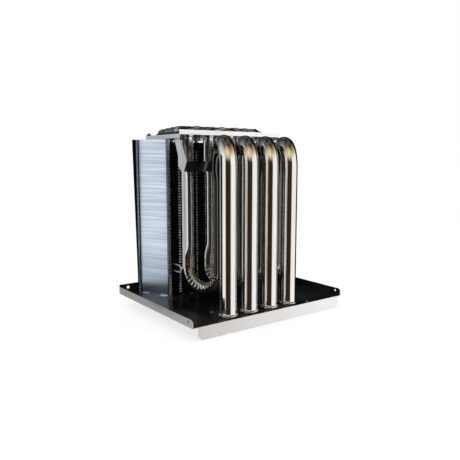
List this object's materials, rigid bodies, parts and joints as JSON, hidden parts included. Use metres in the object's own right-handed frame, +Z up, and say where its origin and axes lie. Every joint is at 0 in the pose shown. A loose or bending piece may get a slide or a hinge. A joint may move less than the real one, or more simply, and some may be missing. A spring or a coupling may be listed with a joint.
{
  "type": "furnace heat exchanger",
  "caption": "Gas furnace heat exchanger: serpentine stainless tubes with wrinkled return bends and a finned secondary coil, standing on their formed mounting panel.",
  "frame": {"origin": "middle of the footprint, on the surface that the unit stands on", "axes": "+Z up along the tubes, +Y from the burner side towards the finned coil, +X along the front flange to the right"},
  "size_m": [0.516, 0.41, 0.525],
  "materials": {
    "panel_steel": "smooth coated sheet steel, dark and glossy inside, silver grey outside",
    "tube_stainless": "polished stainless tube with faint heat tint",
    "sheet_steel": "bright aluminised sheet steel",
    "sealant": "red-brown high temperature sealant, matte",
    "fin_aluminium": "mill finish fin stock",
    "coil_tube_steel": "stainless tube",
    "bracket_steel": "bright stainless strip"
  },
  "bodies": {
    "root": {"vest_panel": "panel_steel", "primary_tube_1": "tube_stainless", "primary_tube_2": "tube_stainless", "primary_tube_3": "tube_stainless", "primary_tube_4": "tube_stainless", "header_plate": "sheet_steel", "collector_box": "sheet_steel", "corner_seal": "sealant", "coil_fin_pack": "fin_aluminium", "coil_tubes": "coil_tube_steel", "coil_channel_left": "sheet_steel", "coil_channel_right": "sheet_steel", "outlet_pan": "sheet_steel", "air_baffle_left": "sheet_steel", "air_baffle_right": "sheet_steel", "tube_strap": "bracket_steel", "hanger_left": "bracket_steel", "hanger_right": "bracket_steel", "spacer_clip_left": "bracket_steel", "spacer_clip_right": "bracket_steel"}
  },
  "joints": []
}
